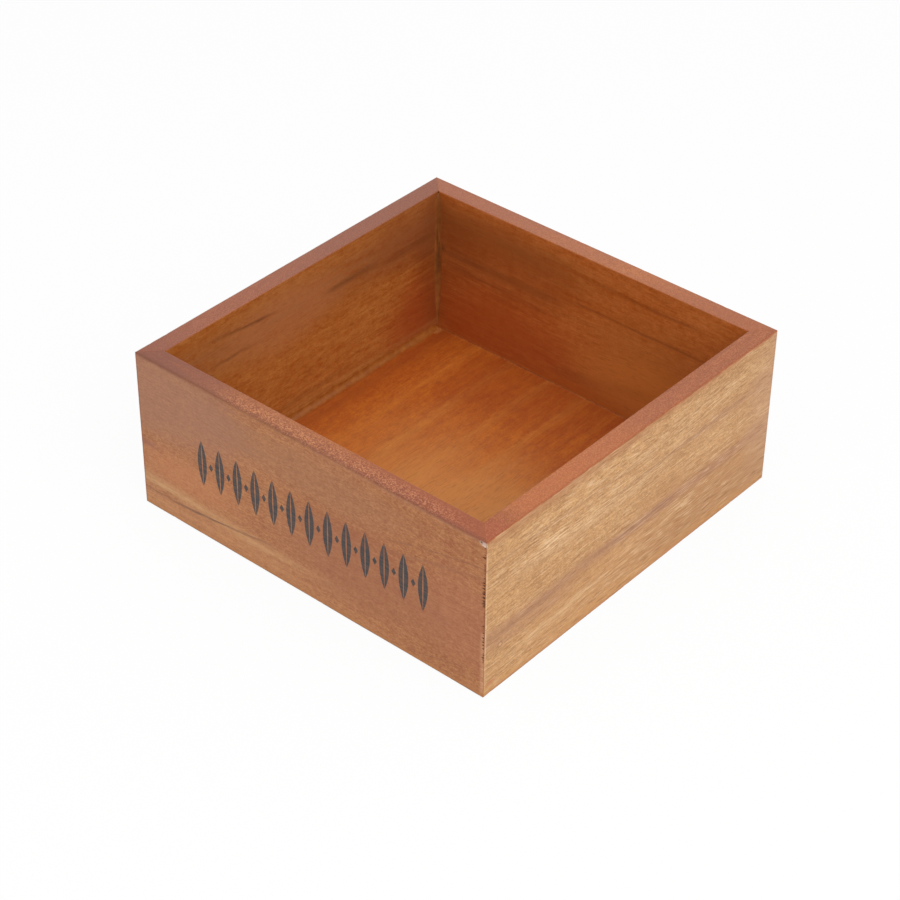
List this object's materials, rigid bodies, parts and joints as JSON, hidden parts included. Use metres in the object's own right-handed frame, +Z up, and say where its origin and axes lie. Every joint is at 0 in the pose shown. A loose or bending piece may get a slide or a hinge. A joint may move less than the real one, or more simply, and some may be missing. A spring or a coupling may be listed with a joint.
{
  "type": "napkin holder",
  "caption": "Square open-topped wooden napkin holder: mitred board walls round a thin bottom panel let into a rabbet, joined with small hidden pins.",
  "frame": {"origin": "middle of the underside, on the surface that the box stands on", "axes": "+Z up; the front board faces -Y, the right board faces +X, and the grain of the bottom panel runs along Y"},
  "size_m": [0.19, 0.19, 0.078],
  "materials": {
    "front_wood": "stained and satin lacquered",
    "right_wood": "stained and satin lacquered",
    "back_wood": "stained and satin lacquered",
    "left_wood": "stained and satin lacquered",
    "bottom_wood": "stained and satin lacquered",
    "pin_steel": "bright drawn wire"
  },
  "bodies": {
    "root": {"front_wall": "front_wood", "right_wall": "right_wood", "back_wall": "back_wood", "left_wall": "left_wood", "bottom_panel": "bottom_wood", "corner_pins_front_left": "pin_steel", "corner_pins_front_right": "pin_steel", "corner_pins_back_left": "pin_steel", "corner_pins_back_right": "pin_steel", "bottom_brads_front": "pin_steel", "bottom_brads_right": "pin_steel", "bottom_brads_back": "pin_steel", "bottom_brads_left": "pin_steel"}
  },
  "joints": []
}
